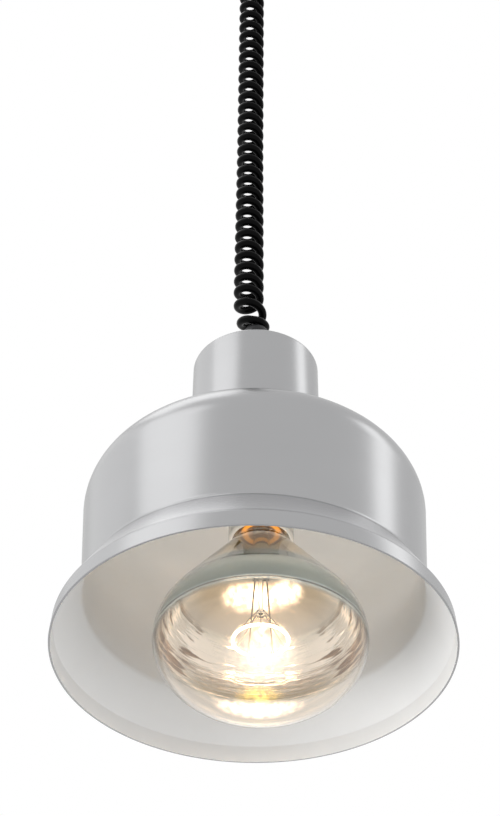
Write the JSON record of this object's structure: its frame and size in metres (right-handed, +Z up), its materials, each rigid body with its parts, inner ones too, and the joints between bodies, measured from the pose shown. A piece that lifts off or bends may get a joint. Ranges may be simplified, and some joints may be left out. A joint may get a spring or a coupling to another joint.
{
  "type": "infrared heat lamp",
  "caption": "Hanging infrared heat lamp: aluminium bell shade with a large reflector bulb, on a curly rise-and-fall cord from a ceiling cup.",
  "frame": {"origin": "middle of the ceiling bracket's upper face, between its two screw holes", "axes": "+Z up, out of the ceiling face; the lamp hangs below, down to about -0.765 m; the bracket's screw holes lie along X"},
  "size_m": [0.235, 0.235, 0.7653],
  "materials": {
    "satin_aluminium": "satin, spun",
    "white_cup": "satin",
    "zinc_steel": "zinc plated, satin",
    "tinned_tag": "tinned, smooth",
    "terminal_plastic": "matte, cream",
    "brass": "bright, turned",
    "grip_plastic": "matte, black",
    "cord_sheath": "semi-matte, black",
    "live_core": "smooth, brown",
    "neutral_core": "smooth, blue",
    "earth_core": "smooth, green and yellow",
    "gland_plastic": "satin, black",
    "seal_rubber": "matte",
    "porcelain": "glazed, white",
    "bulb_clear": "clear",
    "bulb_inner_glass": "clear",
    "silvering": "mirror",
    "cap_brass": "rolled, semi-bright",
    "cap_glass": "glossy, black",
    "tip_solder": "solder, satin",
    "disc_metal": "rolled sheet",
    "lead_metal": "drawn wire",
    "filament": "glowing tungsten coil"
  },
  "bodies": {
    "ceiling": {"block_fixing_screw": "zinc_steel", "bracket_earth_screw": "zinc_steel", "bracket_earth_tag": "tinned_tag", "ceiling_bracket": "zinc_steel", "ceiling_cup": "white_cup", "ceiling_earth_core": "earth_core", "ceiling_live_core": "live_core", "ceiling_neutral_core": "neutral_core", "cord_end_upper": "cord_sheath", "cup_screws": "zinc_steel", "grip_body": "grip_plastic", "grip_cap": "grip_plastic", "grip_nut": "grip_plastic", "terminal_block": "terminal_plastic", "terminal_block_screws": "brass"},
    "swivel": {"cord_tail": "cord_sheath", "swivel_boot": "grip_plastic"},
    "cord": {"curly_cord": "cord_sheath"},
    "lamp_head": {"bell_shade": "satin_aluminium", "centre_contact": "brass", "cord_end_lower": "cord_sheath", "gland_body": "gland_plastic", "gland_cap": "gland_plastic", "gland_nut": "gland_plastic", "gland_seal": "seal_rubber", "gland_washer": "seal_rubber", "head_earth_core": "earth_core", "head_live_core": "live_core", "head_neutral_core": "neutral_core", "holder_joining_screws": "zinc_steel", "holder_screws": "zinc_steel", "holder_strap": "zinc_steel", "holder_terminal_screws": "brass", "holder_terminals": "brass", "lampholder_head": "porcelain", "lampholder_skirt": "porcelain", "neck_housing": "satin_aluminium", "screw_shell": "brass", "shade_nuts": "zinc_steel", "shade_screws": "zinc_steel", "strap_earth_screw": "zinc_steel", "strap_earth_tag": "tinned_tag"},
    "bulb_tip": {"bulb_tip_contact": "tip_solder"},
    "bulb": {"bulb_filament": "filament", "bulb_glass": "bulb_clear", "bulb_heat_disc": "disc_metal", "bulb_insulator": "cap_glass", "bulb_lead_wires": "lead_metal", "bulb_screw_cap": "cap_brass", "bulb_silvering": "silvering", "bulb_stem": "bulb_inner_glass", "bulb_support_wires": "lead_metal"}
  },
  "joints": [
    {"name": "swing_side", "type": "hinge", "parent": "ceiling", "child": "swivel", "pos_m": [0, 0, -0.0583], "axis": [0, 1, 0], "range_deg": [-15, 15]},
    {"name": "swing_front", "type": "hinge", "parent": "swivel", "child": "cord", "pos_m": [0, 0, -0.083], "axis": [1, 0, 0], "range_deg": [-15, 15]},
    {"name": "height", "type": "slide", "parent": "cord", "child": "lamp_head", "axis": [0, 0, 1], "range_m": [-0.45, 0.15], "stiffness_N_per_m": 46.144, "springref_m": 0.15, "deforming": ["curly_cord"]},
    {"name": "bulb_drop", "type": "slide", "parent": "lamp_head", "child": "bulb_tip", "axis": [0, 0, 1], "range_m": [-0.0256, 0]},
    {"name": "bulb_turn", "type": "hinge", "parent": "bulb_tip", "child": "bulb", "pos_m": [0.004, 0, -0.63], "axis": [0, 0, 1], "range_deg": [-2520, 0]}
  ],
  "couplings": [
    {"joint": "bulb_drop", "follows": "bulb_turn", "m_per_rad": 0.00057773}
  ]
}
